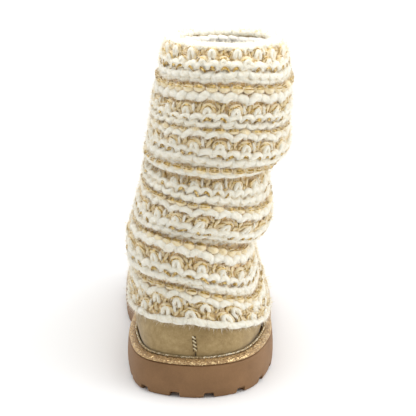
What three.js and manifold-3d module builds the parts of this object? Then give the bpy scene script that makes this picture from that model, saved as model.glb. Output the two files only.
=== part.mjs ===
// A child's pull-on slouch boot for the right foot: suede foot, lugged rubber sole, slack knit shaft.
// Millimetres. +Y runs from heel to toe, +X to the outer side of the foot, +Z up.
// The pieces are worked out with the back of the heel at y = 0 and the floor at z = 0.

import * as THREE from 'three';
import { mergeVertices } from 'three/addons/utils/BufferGeometryUtils.js';
import Module from 'manifold-3d';

const wasm = await Module();
wasm.setup();

// Driving dimensions of the last and the sole
const SOLE_LENGTH = 170;
const BALL_HALF_WIDTH = 37;
const TOE_TIP_X = -6;
const HEEL_WALL = 14.2;
const FOREFOOT_DROP = 1.7;
const TOE_SPRING = 8;
const TOE_TOP_LIFT = 7;
const SPRING_START = 126;
const SPRING_POWER = 1.8;
const ARCH_RISE = 2.5;
const ARCH_FROM = 56;
const ARCH_TO = 90;
const ARCH_RAMP = 12;

// Lugs: the notches between them reach in from the sole's edge, and their cutters overrun it
const LUG_COUNT = 28;
const LUG_PHASE = 0.3;
const NOTCH_WIDTH = 4.3;
const NOTCH_DEPTH = 2.4;
const NOTCH_REACH = 11;
const NOTCH_OVERRUN = 4;

// How the pieces lie on each other
const GAP = 0.3;
const FEATHER_INSET = 5.3;
const WELT_HEIGHT = 1.8;
const PIPING_RADIUS = 0.55;
const PIPING_INSET = 3.5;
const INSOLE_THICKNESS = 3.2;

// Wall of the suede foot and the collar where it ends, under the knit
const SUEDE_WALL = 1.8;
const COLLAR = { centreX: -3.1, centreY: 44, halfWidth: 23.9, halfDepth: 36 };
const COLLAR_HEIGHT = { back: 45, lateral: 44, front: 62, medial: 45 };

// Lower end of the knit: heights of its hem on the foot and how close it lies on the suede
const HEM_HEIGHT = { back: 30.5, lateral: 24, front: 54.5, medial: 33 };
const KNIT_CLEARANCE = 0.4;
const HEM_FLARE = 0.6;
const HEM_TOP_SHARE = 0.9;

// How finely the surfaces are cut
const OUTLINE_STEPS = 60;
const UPPER_OUTER_STEPS = 13;
const UPPER_INNER_STEPS = 8;
const SHAFT_STEPS = 40;
const SHAFT_SUBROWS = 3;
const PIPING_SIDES = 6;
const OUTLINE_DIVISIONS = 800;
const SEARCH_STEPS = 40;

// Sole outline: share of the length from the heel, then the half-widths as shares of the ball's
const OUTLINE = [
  { along: 0.047, medial: 0.625, lateral: 0.540 },
  { along: 0.188, medial: 0.840, lateral: 0.830 },
  { along: 0.400, medial: 0.835, lateral: 0.865 },
  { along: 0.590, medial: 0.990, lateral: 0.885 },
  { along: 0.770, medial: 1.010, lateral: 0.780 },
  { along: 0.930, medial: 0.780, lateral: 0.460 },
];

// Profiles around the sole from the outside edge: inset from the outline and share of the piece's height
const SOLE_PROFILE = [
  { inset: 0.7, share: 0 },
  { inset: 0, share: 0.05 },
  { inset: -0.4, share: 0.4 },
  { inset: 0, share: 0.94 },
  { inset: 0.7, share: 1 },
];
const WELT_PROFILE = [
  { inset: 0.5, share: 0 },
  { inset: 0.25, share: 0.35 },
  { inset: 0.9, share: 0.7 },
  { inset: 2.4, share: 0.95 },
  { inset: 4.2, share: 1 },
  { inset: 4.2, share: 0 },
];
const INSOLE_PROFILE = [
  { inset: 7.6, share: 0 },
  { inset: 7.6, share: 0.7 },
  { inset: 8.6, share: 1 },
];

// Sections of the suede foot, one for each twelfth of the way round from the heel by the outer side.
// A section is a curve from the sole to the collar. It meets the collar a lead of some degrees ahead
// of an even turn, leaves the sole with a bulge and a rise, and nears the collar from a spread and a drop.
const UPPER_SECTIONS = [
  { lead: 0, bulge: 3.0, rise: 13, spread: -0.5, drop: 13 },
  { lead: 8, bulge: 2.6, rise: 13, spread: 2.0, drop: 13 },
  { lead: 22, bulge: 2.4, rise: 14, spread: 4.0, drop: 11 },
  { lead: 38, bulge: 2.4, rise: 15, spread: 5, drop: 8 },
  { lead: 40, bulge: 2.6, rise: 20, spread: 13, drop: 9 },
  { lead: 23, bulge: 3.6, rise: 28, spread: 22, drop: 13 },
  { lead: 0, bulge: 4.5, rise: 33, spread: 25, drop: 15 },
  { lead: -22, bulge: 4.5, rise: 32, spread: 26, drop: 13 },
  { lead: -38, bulge: 4.5, rise: 28, spread: 21, drop: 9 },
  { lead: -36, bulge: 4.8, rise: 19, spread: 8, drop: 8 },
  { lead: -22, bulge: 5.0, rise: 15, spread: 0, drop: 11 },
  { lead: -8, bulge: 4.4, rise: 13, spread: 0, drop: 13 },
];

// Rows of the knit where it lies on the foot: share of the way from the hem to the ankle, and the wall
const HEM_ROWS = [
  { up: 0, wall: 1.7 },
  { up: 0.08, wall: 3.2 },
  { up: 0.3, wall: 3.4 },
  { up: 0.52, wall: 3.2 },
  { up: 0.76, wall: 3.2 },
];

// Slack part of the knit shaft, a row for each fold from ankle to rim: heights at the back, outer side,
// front and inner side, the places of those four sides, and the wall there
const SHAFT_COLUMNS = ['zBack', 'zLat', 'zFront', 'zMed', 'back', 'lat', 'front', 'med', 'wall'];
const SHAFT_ROWS = [
  [   47,  47.5,  67.5,  49.5,  4.6, 24.6,   86, -30.2, 2.6],
  [   54,    52,    71,  54.5,  3.8, 23.6,   83, -31.4,   3],
  [ 63.5,    55,    74,  62.5,  4.6, 23.3,   81, -31.1,   3],
  [   68,  58.5,    76,    68,  6.2, 23.4, 80.5, -29.2,   3],
  [ 71.5,  61.5,  78.5,    72,  5.2, 27.2,   81, -27.9,   3],
  [ 77.5,  68.5,  83.5,  78.5,    4,   31, 81.5, -26.3, 3.2],
  [ 84.5,  78.5,  88.5,  86.5,  4.6, 30.4,   79, -24.6, 3.2],
  [   89,  87.5,    92,  91.5,  6.6, 29.2,   76, -23.4, 3.2],
  [   92,  91.5,    95,    95,  7.8, 29.4, 74.5, -22.6, 3.2],
  [ 94.5,    95,    98,    98,  5.8, 33.6,   76, -22.4, 3.2],
  [  100, 100.5,   103, 103.5,  4.4,   38,   78, -21.8, 3.2],
  [  112, 111.5, 113.5, 114.5,  4.2, 37.8, 77.5, -20.4, 3.2],
  [127.5, 127.5,   127, 128.5,  4.8, 38.4, 76.5, -18.1, 3.6],
  [  138,   137,   136, 137.5,  6.2,   37, 75.2, -16.2, 4.2],
  [144.6,   143, 141.5, 143.5,  8.2,   35, 73.2, -14.2, 3.4],
  [146.6,   145, 143.5, 145.5, 10.6, 32.6, 70.8, -11.8, 1.6],
].map((row) => Object.fromEntries(SHAFT_COLUMNS.map((name, k) => [name, row[k]])));

// Angles of the shaft's meridians, counted from the back by the outer side
const shaftAngles = Array.from({ length: SHAFT_STEPS }, (_, i) => (2 * Math.PI * i) / SHAFT_STEPS);

// Share of the way from one value to another, with soft ends
const ease = (value, from, to) => THREE.MathUtils.smoothstep(value, from, to);

// Height of the tread and of the sole's top at a distance from the heel
function springAt(y) {
  const share = THREE.MathUtils.clamp((y - SPRING_START) / (SOLE_LENGTH - SPRING_START), 0, 1);
  return share ** SPRING_POWER;
}

function treadHeight(y) {
  const arch = ease(y, ARCH_FROM, ARCH_FROM + ARCH_RAMP) * (1 - ease(y, ARCH_TO - ARCH_RAMP, ARCH_TO));
  return ARCH_RISE * arch + TOE_SPRING * springAt(y);
}

function soleTop(y) {
  return HEEL_WALL - FOREFOOT_DROP * ease(y, ARCH_FROM, ARCH_TO) + TOE_TOP_LIFT * springAt(y);
}

// Closed curve around the sole, from the back of the heel by the outer side
function outlineCurve() {
  const side = (row, name, sign) =>
    new THREE.Vector3(sign * row[name] * BALL_HALF_WIDTH, row.along * SOLE_LENGTH, 0);
  const points = [
    new THREE.Vector3(0, 0, 0),
    ...OUTLINE.map((row) => side(row, 'lateral', 1)),
    new THREE.Vector3(TOE_TIP_X, SOLE_LENGTH, 0),
    ...OUTLINE.map((row) => side(row, 'medial', -1)).reverse(),
  ];
  return new THREE.CatmullRomCurve3(points, true, 'centripetal');
}

const outline = outlineCurve();
outline.arcLengthDivisions = OUTLINE_DIVISIONS;

// Point of the outline at a share of the way round, moved in by an inset, and the way out from it
function outlinePlace(share, inset) {
  const turn = THREE.MathUtils.euclideanModulo(share, 1);
  const tangent = outline.getTangentAt(turn);
  const outward = new THREE.Vector3(tangent.y, -tangent.x, 0);
  const point = outline.getPointAt(turn).addScaledVector(outward, -inset);
  return { point, outward };
}

// Loop of points along the outline at an inset, with a height worked out from y
function outlineLoop(inset, height) {
  return Array.from({ length: OUTLINE_STEPS }, (_, i) => {
    const { point } = outlinePlace(i / OUTLINE_STEPS, inset);
    point.z = height(point.y);
    return point;
  });
}

// Value of one column of a table between its rows, by a Catmull-Rom curve
function column(table, name, t, closed) {
  const count = table.length;
  const row = Math.min(Math.floor(t), closed ? count : count - 2);
  const f = t - row;
  const { euclideanModulo, clamp } = THREE.MathUtils;
  const pick = (k) => table[closed ? euclideanModulo(k, count) : clamp(k, 0, count - 1)][name];
  const [a, b, c, d] = [pick(row - 1), pick(row), pick(row + 1), pick(row + 2)];
  const slopeB = (c - a) / 2;
  const slopeC = (d - b) / 2;
  const bend = 3 * (c - b) - 2 * slopeB - slopeC;
  const twist = 2 * (b - c) + slopeB + slopeC;
  return b + f * (slopeB + f * (bend + f * twist));
}

// Height around a loop from its values at the back, outer side, front and inner side
function heightAround(angle, back, lateral, front, medial) {
  const mean = (back + lateral + front + medial) / 4;
  const pitch = (back - front) / 2;
  const roll = (lateral - medial) / 2;
  const saddle = (back + front - lateral - medial) / 4;
  return mean + pitch * Math.cos(angle) + roll * Math.sin(angle) + saddle * Math.cos(2 * angle);
}

// Body between closed loops of equal length; the last loop joins the first, or both ends get caps
function loftGeometry(loops, capped) {
  const around = loops[0].length;
  const index = [];
  const bands = capped ? loops.length - 1 : loops.length;
  for (let j = 0; j < bands; j += 1) {
    const low = j * around;
    const high = ((j + 1) % loops.length) * around;
    for (let i = 0; i < around; i += 1) {
      const next = (i + 1) % around;
      index.push(low + i, low + next, high + next, low + i, high + next, high + i);
    }
  }
  if (capped) {
    const top = (loops.length - 1) * around;
    for (let i = 0; i < around / 2; i += 1) {
      const across = (around - i) % around;
      const acrossNext = around - i - 1;
      const quads = [[i, i + 1, acrossNext], [i, acrossNext, across]];
      for (const [a, b, c] of quads) {
        if (a !== b && b !== c && c !== a) {
          index.push(top + a, top + b, top + c, c, b, a);
        }
      }
    }
  }
  const geometry = new THREE.BufferGeometry().setFromPoints(loops.flat());
  geometry.setIndex(index);
  return geometry;
}

// Solids for the cuts
function toSolid(geometry) {
  const bare = geometry.clone();
  bare.deleteAttribute('normal');
  bare.deleteAttribute('uv');
  const merged = mergeVertices(bare);
  return new wasm.Manifold(new wasm.Mesh({
    numProp: 3,
    vertProperties: new Float32Array(merged.attributes.position.array),
    triVerts: new Uint32Array(merged.index.array),
  }));
}

function fromSolid(solid) {
  const mesh = solid.getMesh();
  const geometry = new THREE.BufferGeometry();
  geometry.setAttribute('position', new THREE.BufferAttribute(mesh.vertProperties, 3));
  geometry.setIndex(new THREE.BufferAttribute(mesh.triVerts, 1));
  return geometry;
}

// Grid of points moved inwards along the surface's own normals, each row by its own wall
function inwardLoops(loops, walls) {
  const around = loops[0].length;
  return loops.map((loop, j) => loop.map((point, i) => {
    const below = loops[Math.max(j - 1, 0)][i];
    const above = loops[Math.min(j + 1, loops.length - 1)][i];
    const before = loop[(i + around - 1) % around];
    const after = loop[(i + 1) % around];
    const up = new THREE.Vector3().subVectors(above, below);
    const along = new THREE.Vector3().subVectors(after, before);
    const normal = new THREE.Vector3().crossVectors(along, up).normalize();
    return point.clone().addScaledVector(normal, -walls[j]);
  }));
}

// Rubber sole: lofted block with arch and toe spring, then a notch between each two lugs
function outsoleGeometry() {
  const wall = (share) => (y) => THREE.MathUtils.lerp(treadHeight(y), soleTop(y), share);
  const loops = SOLE_PROFILE.map((row) => outlineLoop(row.inset, wall(row.share)));
  const reach = NOTCH_REACH + NOTCH_OVERRUN;
  const centreInset = (NOTCH_REACH - NOTCH_OVERRUN) / 2;
  let sole = toSolid(loftGeometry(loops, true));
  for (let k = 0; k < LUG_COUNT; k += 1) {
    const { point, outward } = outlinePlace((k + LUG_PHASE) / LUG_COUNT, centreInset);
    const notch = new THREE.BoxGeometry(reach, NOTCH_WIDTH, NOTCH_DEPTH * 2);
    notch.rotateZ(Math.atan2(outward.y, outward.x));
    notch.translate(point.x, point.y, treadHeight(point.y));
    sole = sole.subtract(toSolid(notch));
  }
  return fromSolid(sole);
}

// Glitter rand: a rounded strip on the sole's edge, rising towards the foot
function weltGeometry() {
  const level = (share) => (y) => soleTop(y) + GAP + share * WELT_HEIGHT;
  const loops = WELT_PROFILE.map((row) => outlineLoop(row.inset, level(row.share)));
  return loftGeometry(loops, false);
}

// Thin bead lying on the rand against the suede
function pipingGeometry() {
  const loops = Array.from({ length: PIPING_SIDES }, (_, k) => {
    const turn = (2 * Math.PI * k) / PIPING_SIDES;
    const lift = GAP * 2 + WELT_HEIGHT + PIPING_RADIUS * (1 + Math.sin(turn));
    return outlineLoop(PIPING_INSET - PIPING_RADIUS * Math.cos(turn), (y) => soleTop(y) + lift);
  });
  return loftGeometry(loops, false);
}

// Footbed inside the suede wall
function insoleGeometry() {
  const level = (share) => (y) => soleTop(y) + GAP + share * INSOLE_THICKNESS;
  const loops = INSOLE_PROFILE.map((row) => outlineLoop(row.inset, level(row.share)));
  return loftGeometry(loops, true);
}

// Point on the collar at an angle counted from the back by the outer side
function collarPoint(angle) {
  const { back, lateral, front, medial } = COLLAR_HEIGHT;
  return new THREE.Vector3(
    COLLAR.centreX + COLLAR.halfWidth * Math.sin(angle),
    COLLAR.centreY - COLLAR.halfDepth * Math.cos(angle),
    heightAround(angle, back, lateral, front, medial),
  );
}

// Angle at which a section meets the collar, and the share of the way round that belongs to an angle
function collarAngle(share) {
  const lead = column(UPPER_SECTIONS, 'lead', share * UPPER_SECTIONS.length, true);
  return THREE.MathUtils.degToRad(360 * share + lead);
}

function searchShare(rising, target) {
  let [low, high] = [0, 1];
  for (let k = 0; k < SEARCH_STEPS; k += 1) {
    const middle = (low + high) / 2;
    if (rising(middle) < target) {
      low = middle;
    } else {
      high = middle;
    }
  }
  return low;
}

// Section of the suede foot at a share of the way round, as a curve from the sole to the collar
function upperSection(share) {
  const value = (name) => column(UPPER_SECTIONS, name, share * UPPER_SECTIONS.length, true);
  const { point: foot, outward } = outlinePlace(share, FEATHER_INSET);
  foot.z = soleTop(foot.y) + GAP;
  const collar = collarPoint(collarAngle(share));
  const away = new THREE.Vector3().subVectors(foot, collar).setZ(0).normalize();
  const leave = foot.clone().addScaledVector(outward, value('bulge')).setZ(foot.z + value('rise'));
  const reach = collar.clone().addScaledVector(away, value('spread')).setZ(collar.z - value('drop'));
  return new THREE.CubicBezierCurve3(foot, leave, reach, collar);
}

// Suede foot: one wall between its outer surface and a copy set in by the wall
function upperGeometry() {
  const sections = Array.from({ length: OUTLINE_STEPS }, (_, i) => upperSection(i / OUTLINE_STEPS));
  const loopsAt = (steps) => Array.from({ length: steps + 1 }, (_, j) =>
    sections.map((section) => section.getPoint(j / steps)));
  const outer = loopsAt(UPPER_OUTER_STEPS);
  const bare = loopsAt(UPPER_INNER_STEPS);
  const inner = inwardLoops(bare, bare.map(() => SUEDE_WALL));
  return loftGeometry([...outer, ...inner.reverse()], false);
}

// Loop of the slack knit between two rows of its table
function shaftLoop(t) {
  const value = (name) => column(SHAFT_ROWS, name, t, false);
  const [back, lat, front, med] = ['back', 'lat', 'front', 'med'].map(value);
  const heights = ['zBack', 'zLat', 'zFront', 'zMed'].map(value);
  return shaftAngles.map((angle) => new THREE.Vector3(
    (lat + med) / 2 + ((lat - med) / 2) * Math.sin(angle),
    (front + back) / 2 - ((front - back) / 2) * Math.cos(angle),
    heightAround(angle, ...heights),
  ));
}

// Line of the foot under the knit at an angle, from the hem to just below the collar
function hemLine(angle) {
  const { back, lateral, front, medial } = HEM_HEIGHT;
  const section = upperSection(searchShare(collarAngle, angle));
  const hem = searchShare((t) => section.getPoint(t).z, heightAround(angle, back, lateral, front, medial));
  return HEM_ROWS.map((row) => section.getPoint(THREE.MathUtils.lerp(hem, HEM_TOP_SHARE, row.up)));
}

// Knit shaft: it lies on the foot from the hem up, then stands slack in folds to the rim
function shaftGeometry() {
  const lines = shaftAngles.map(hemLine);
  const onFoot = HEM_ROWS.map((_, k) => lines.map((line) => line[k]));
  const lift = (row) => KNIT_CLEARANCE + HEM_FLARE * (1 - row.up);
  const footInner = inwardLoops(onFoot, HEM_ROWS.map((row) => -lift(row)));
  const footOuter = inwardLoops(onFoot, HEM_ROWS.map((row) => -lift(row) - row.wall));
  const fineRows = (SHAFT_ROWS.length - 1) * SHAFT_SUBROWS + 1;
  const slackOuter = Array.from({ length: fineRows }, (_, j) => shaftLoop(j / SHAFT_SUBROWS));
  const slackBare = SHAFT_ROWS.map((_, j) => shaftLoop(j));
  const slackInner = inwardLoops(slackBare, SHAFT_ROWS.map((row) => row.wall));
  const inner = [...footInner, ...slackInner];
  return loftGeometry([...footOuter, ...slackOuter, ...inner.reverse()], false);
}

// Pieces with their finishes
const boot = new THREE.Group();

function addPiece(name, geometry, color, roughness, metalness) {
  const material = new THREE.MeshStandardMaterial({ color, roughness, metalness });
  const mesh = new THREE.Mesh(geometry, material);
  mesh.name = name;
  boot.add(mesh);
}

addPiece('outsole', outsoleGeometry(), 0x8c694b, 0.75, 0);
addPiece('welt', weltGeometry(), 0xa8875a, 0.4, 0.4);
addPiece('welt_piping', pipingGeometry(), 0xd3c19b, 0.35, 0.6);
addPiece('insole', insoleGeometry(), 0xd8cdb2, 0.95, 0);
addPiece('upper', upperGeometry(), 0x8c7a55, 0.95, 0);
addPiece('shaft', shaftGeometry(), 0xf2eee0, 0.95, 0);

// The origin lies on the floor under the middle of the whole boot
const extent = new THREE.Box3().setFromObject(boot);
const middle = extent.getCenter(new THREE.Vector3());
boot.position.set(-middle.x, -middle.y, -extent.min.z);

export default boot;
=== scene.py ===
import bpy
import numpy as np
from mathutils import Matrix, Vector


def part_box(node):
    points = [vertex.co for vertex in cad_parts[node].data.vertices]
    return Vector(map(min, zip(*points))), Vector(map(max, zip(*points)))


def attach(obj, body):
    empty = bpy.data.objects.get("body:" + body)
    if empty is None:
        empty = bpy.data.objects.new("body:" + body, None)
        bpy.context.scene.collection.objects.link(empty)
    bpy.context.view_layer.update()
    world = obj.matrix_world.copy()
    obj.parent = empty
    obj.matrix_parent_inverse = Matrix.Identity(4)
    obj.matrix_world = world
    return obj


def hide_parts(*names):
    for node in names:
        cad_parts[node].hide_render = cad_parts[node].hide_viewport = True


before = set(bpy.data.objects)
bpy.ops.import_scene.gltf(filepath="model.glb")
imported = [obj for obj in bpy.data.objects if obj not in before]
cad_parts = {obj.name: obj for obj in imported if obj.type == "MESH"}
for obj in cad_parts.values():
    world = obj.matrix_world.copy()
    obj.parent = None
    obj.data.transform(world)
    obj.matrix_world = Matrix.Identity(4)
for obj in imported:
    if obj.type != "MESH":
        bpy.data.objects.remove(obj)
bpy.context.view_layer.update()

# Looks of a right slouch boot: suede foot, glitter rand, rubber sole and a chunky knit shaft.
# Shapes are worked out in millimetres from the back of the heel and the floor, as the solids are.

rng = np.random.default_rng(11)

# Driving dimensions of the last and the sole
SOLE_LENGTH = 170
BALL_HALF_WIDTH = 37
TOE_TIP_X = -6
HEEL_WALL = 14.2
FOREFOOT_DROP = 1.7
TOE_SPRING = 8
TOE_TOP_LIFT = 7
SPRING_START = 126
SPRING_POWER = 1.8
ARCH_RISE = 2.5
ARCH_FROM = 56
ARCH_TO = 90
ARCH_RAMP = 12
WALL_BULGE = 0.4

# Lugs
LUG_COUNT = 28
LUG_PHASE = 0.3
NOTCH_WIDTH = 4.3
NOTCH_DEPTH = 2.4
NOTCH_REACH = 11

# How the pieces lie on each other
GAP = 0.3
FEATHER_INSET = 5.3
WELT_HEIGHT = 1.8
PIPING_RADIUS = 0.55
PIPING_INSET = 3.5
INSOLE_THICKNESS = 3.2
SUEDE_WALL = 1.8

# Collar of the suede foot; four values run back, outer side, front, inner side
COLLAR_CENTRE = (-3.1, 44)
COLLAR_HALF = (23.9, 36)
COLLAR_HEIGHT = (45, 44, 62, 45)

# Lower end of the knit
HEM_HEIGHT = (30.5, 24, 54.5, 33)
KNIT_CLEARANCE = 0.4
HEM_FLARE = 0.6
HEM_TOP_SHARE = 0.9

# Sole outline: share of the length, then inner and outer half-widths as shares of the ball's
OUTLINE = np.array([
    (0.047, 0.625, 0.540),
    (0.188, 0.840, 0.830),
    (0.400, 0.835, 0.865),
    (0.590, 0.990, 0.885),
    (0.770, 1.010, 0.780),
    (0.930, 0.780, 0.460),
])

# Sections of the suede foot around the last: lead, bulge, rise, spread, drop
UPPER_SECTIONS = np.array([
    (0, 3.0, 13, -0.5, 13),
    (8, 2.6, 13, 2.0, 13),
    (22, 2.4, 14, 4.0, 11),
    (38, 2.4, 15, 5, 8),
    (40, 2.6, 20, 13, 9),
    (23, 3.6, 28, 22, 13),
    (0, 4.5, 33, 25, 15),
    (-22, 4.5, 32, 26, 13),
    (-38, 4.5, 28, 21, 9),
    (-36, 4.8, 19, 8, 8),
    (-22, 5.0, 15, 0, 11),
    (-8, 4.4, 13, 0, 13),
])

# Knit on the foot: share of the way from hem to ankle, wall
HEM_ROWS = np.array([(0, 1.7), (0.08, 3.2), (0.3, 3.4), (0.52, 3.2), (0.76, 3.2)])

# Slack knit from ankle to rim: heights at back, outer side, front and inner side, then their places
SHAFT_ROWS = np.array([
    (47, 47.5, 67.5, 49.5, 4.6, 24.6, 86, -30.2),
    (54, 52, 71, 54.5, 3.8, 23.6, 83, -31.4),
    (63.5, 55, 74, 62.5, 4.6, 23.3, 81, -31.1),
    (68, 58.5, 76, 68, 6.2, 23.4, 80.5, -29.2),
    (71.5, 61.5, 78.5, 72, 5.2, 27.2, 81, -27.9),
    (77.5, 68.5, 83.5, 78.5, 4, 31, 81.5, -26.3),
    (84.5, 78.5, 88.5, 86.5, 4.6, 30.4, 79, -24.6),
    (89, 87.5, 92, 91.5, 6.6, 29.2, 76, -23.4),
    (92, 91.5, 95, 95, 7.8, 29.4, 74.5, -22.6),
    (94.5, 95, 98, 98, 5.8, 33.6, 76, -22.4),
    (100, 100.5, 103, 103.5, 4.4, 38, 78, -21.8),
    (112, 111.5, 113.5, 114.5, 4.2, 37.8, 77.5, -20.4),
    (127.5, 127.5, 127, 128.5, 4.8, 38.4, 76.5, -18.1),
    (138, 137, 136, 137.5, 6.2, 37, 75.2, -16.2),
    (144.6, 143, 141.5, 143.5, 8.2, 35, 73.2, -14.2),
    (146.6, 145, 143.5, 145.5, 10.6, 32.6, 70.8, -11.8),
])

# Knit chart: how far along the knit from the hem each band of arches lies, on the four sides,
# and the height of its arches. The last row is the rim.
BAND_ROWS = np.array([
    (8.9, 8.0, 7.5, 10.0, 2.3),
    (27.1, 30.0, 22.0, 32.0, 2.8),
    (46.8, 53.0, 37.0, 50.0, 2.7),
    (63.2, 73.0, 52.0, 65.0, 2.6),
    (82.0, 92.0, 67.0, 79.0, 2.7),
    (96.5, 107.0, 82.0, 92.0, 2.8),
    (117.8, 128.8, 99.8, 113.3, 2.3),
    (135.0, 147.0, 115.0, 131.0, 2.3),
])
BAND_COUNT = 7
# Offsets of the tiers of arches in a band; the bands at the hem and the rim have two
BAND_TIERS = {0: (-2.6, 1.5), 6: (-1.9, 2.0)}
# Stitches round the shaft, and half-width and half-depth of the loop on which they are evenly spaced
STITCHES = 38
KNIT_GIRTH = (29.5, 36.5)

# Courses between two bands of arches: share of the way up to the next band, yarn radius, how far it
# stands out, how far a stitch bows up, depth of the dip between stitches, offset in stitches round the
# boot, and how far it rises over the domes of the band below
COURSES = {
    "low_ridge": dict(rise=0.235, radius=1.60, lift=0.55, bow=0.85, dip=0.7, phase=0.5, wave=0.6),
    "thin_ridge": dict(rise=0.540, radius=1.10, lift=-0.4, bow=0.60, dip=0.5, phase=0.5, wave=0.2),
    "high_under": dict(rise=0.680, radius=1.30, lift=0.45, bow=-1.05, dip=0.6, phase=0.5, wave=0.0),
    "high_over": dict(rise=0.790, radius=1.40, lift=0.55, bow=1.05, dip=0.6, phase=0.0, wave=0.0),
}
# Usual way up to the next band, and the shares of it at which the ovals and the gold dashes lie
CHART_REPEAT = 17.2
OVAL_RISE = 0.41
DASH_RISE = 0.733

# Photo camera in the last's frame, its focal length in pixels of the 416-pixel frame, and the aim
FRAME_PIXELS = 416
FOCAL_PIXELS = 1290
CAMERA_PLACE = (9.0, -494.2, 226)
CAMERA_AIM = (3.5, 40, 71)

# Soft key light from the outer side and above, in a white room that is brighter behind the boot
KEY_FROM = (0.9, -0.1, 0.42)
KEY_STRENGTH = 1.05
KEY_SOFTNESS = 50
ROOM_NEAR = 0.5
ROOM_FAR = 1.25
# Lamp above the opening, in millimetres, its strength in watts and its size in metres
TOP_PLACE = (10, 12, 235)
TOP_STRENGTH = 0.13
TOP_SIZE = 0.08

# The part's frame is in metres and has its origin under the middle of the boot
MM_PER_METRE = 1000
SHIFT = np.array([0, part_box("outsole")[0].y * MM_PER_METRE + WALL_BULGE, 0])


def metres(points):
    """Points in the part's frame"""
    return (np.asarray(points) + SHIFT) / MM_PER_METRE


# Curves and heights

# Steps of the sole's outline, the share of it that gives a tangent, and halvings in a search
OUTLINE_STEPS = 1400
TANGENT_STEP = 0.0015
HALVINGS = 40


def unit(vectors):
    return vectors / np.linalg.norm(vectors, axis=-1, keepdims=True)


def nearest(value, whole):
    """Value moved by whole turns to within half a turn of 0"""
    return np.mod(value + whole / 2, whole) - whole / 2


def smooth(value, low, high):
    """Share of the way from low to high, with soft ends"""
    t = np.clip((value - low) / (high - low), 0, 1)
    return t * t * (3 - 2 * t)


def bell(value):
    """1 at 0, fading out to either side"""
    return np.exp(-value ** 2)


def spring(y):
    return np.clip((y - SPRING_START) / (SOLE_LENGTH - SPRING_START), 0, 1) ** SPRING_POWER


def tread_height(y):
    arch = smooth(y, ARCH_FROM, ARCH_FROM + ARCH_RAMP) * (1 - smooth(y, ARCH_TO - ARCH_RAMP, ARCH_TO))
    return ARCH_RISE * arch + TOE_SPRING * spring(y)


def sole_top(y):
    return HEEL_WALL - FOREFOOT_DROP * smooth(y, ARCH_FROM, ARCH_TO) + TOE_TOP_LIFT * spring(y)


def through(rows, t, closed, knots=None):
    """Smooth curve through rows at places t; knots give the rows uneven spacing"""
    count = len(rows)
    first = np.floor(t).astype(int)
    if not closed:
        first = np.clip(first, 0, count - 2)

    def pick(table, k):
        index = (first + k) % count if closed else np.clip(first + k, 0, count - 1)
        return table[index]

    spread = (...,) + (None,) * (rows.ndim - 1)
    f = (t - first)[spread]
    a, b, c, d = (pick(rows, k) for k in (-1, 0, 1, 2))
    slope_b, slope_c = (c - a) / 2, (d - b) / 2
    if knots is not None:
        d0, d1, d2 = (pick(knots, k)[spread] for k in (-1, 0, 1))
        slope_b = ((b - a) / d0 - (c - a) / (d0 + d1) + (c - b) / d1) * d1
        slope_c = ((c - b) / d1 - (d - b) / (d1 + d2) + (d - c) / d2) * d1
    bend = 3 * (c - b) - 2 * slope_b - slope_c
    twist = 2 * (b - c) + slope_b + slope_c
    return b + f * (slope_b + f * (bend + f * twist))


def outline_table():
    """Fine points of the sole's outline from the heel by the outer side, and the share of the way"""
    along = OUTLINE[:, 0] * SOLE_LENGTH
    outer = np.stack([OUTLINE[:, 2] * BALL_HALF_WIDTH, along], 1)
    inner = np.stack([-OUTLINE[:, 1] * BALL_HALF_WIDTH, along], 1)
    points = np.concatenate([[[0, 0]], outer, [[TOE_TIP_X, SOLE_LENGTH]], inner[::-1]])
    knots = np.linalg.norm(np.roll(points, -1, 0) - points, axis=1) ** 0.5
    fine = through(points, np.linspace(0, len(points), OUTLINE_STEPS + 1), True, knots)
    length = np.concatenate([[0], np.cumsum(np.linalg.norm(np.diff(fine, axis=0), axis=1))])
    return length / length[-1], fine, length[-1]


OUTLINE_SHARE, OUTLINE_FINE, PERIMETER = outline_table()


def outline_place(share, inset):
    """Points of the outline moved in by an inset, and the ways out from them"""
    def at(place):
        place = np.mod(place, 1)
        return np.stack([np.interp(place, OUTLINE_SHARE, OUTLINE_FINE[:, k]) for k in (0, 1)], -1)

    tangent = unit(at(share + TANGENT_STEP) - at(share - TANGENT_STEP))
    outward = np.stack([tangent[..., 1], -tangent[..., 0]], -1)
    return at(share) - outward * np.asarray(inset)[..., None], outward


def outline_loop(share, inset, height):
    flat, _ = outline_place(share, np.broadcast_to(inset, share.shape))
    return np.concatenate([flat, height(flat[:, 1])[:, None]], 1)


def around(angle, back, outer, front, inner):
    """Value around a loop from its values on the four sides"""
    mean = (back + outer + front + inner) / 4
    saddle = (back + front - outer - inner) / 4
    return (mean + (back - front) / 2 * np.cos(angle) + (outer - inner) / 2 * np.sin(angle)
            + saddle * np.cos(2 * angle))


def section_values(share):
    return through(UPPER_SECTIONS, np.mod(share, 1) * len(UPPER_SECTIONS), True)


def collar_angle(share):
    return np.radians(360 * share + section_values(share)[..., 0])


def bisect(rising, target):
    """Where a rising function of 0 to 1 reaches each target"""
    low, high = np.zeros_like(target), np.ones_like(target)
    for _ in range(HALVINGS):
        middle = (low + high) / 2
        under = rising(middle) < target
        low, high = np.where(under, middle, low), np.where(under, high, middle)
    return low


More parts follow.
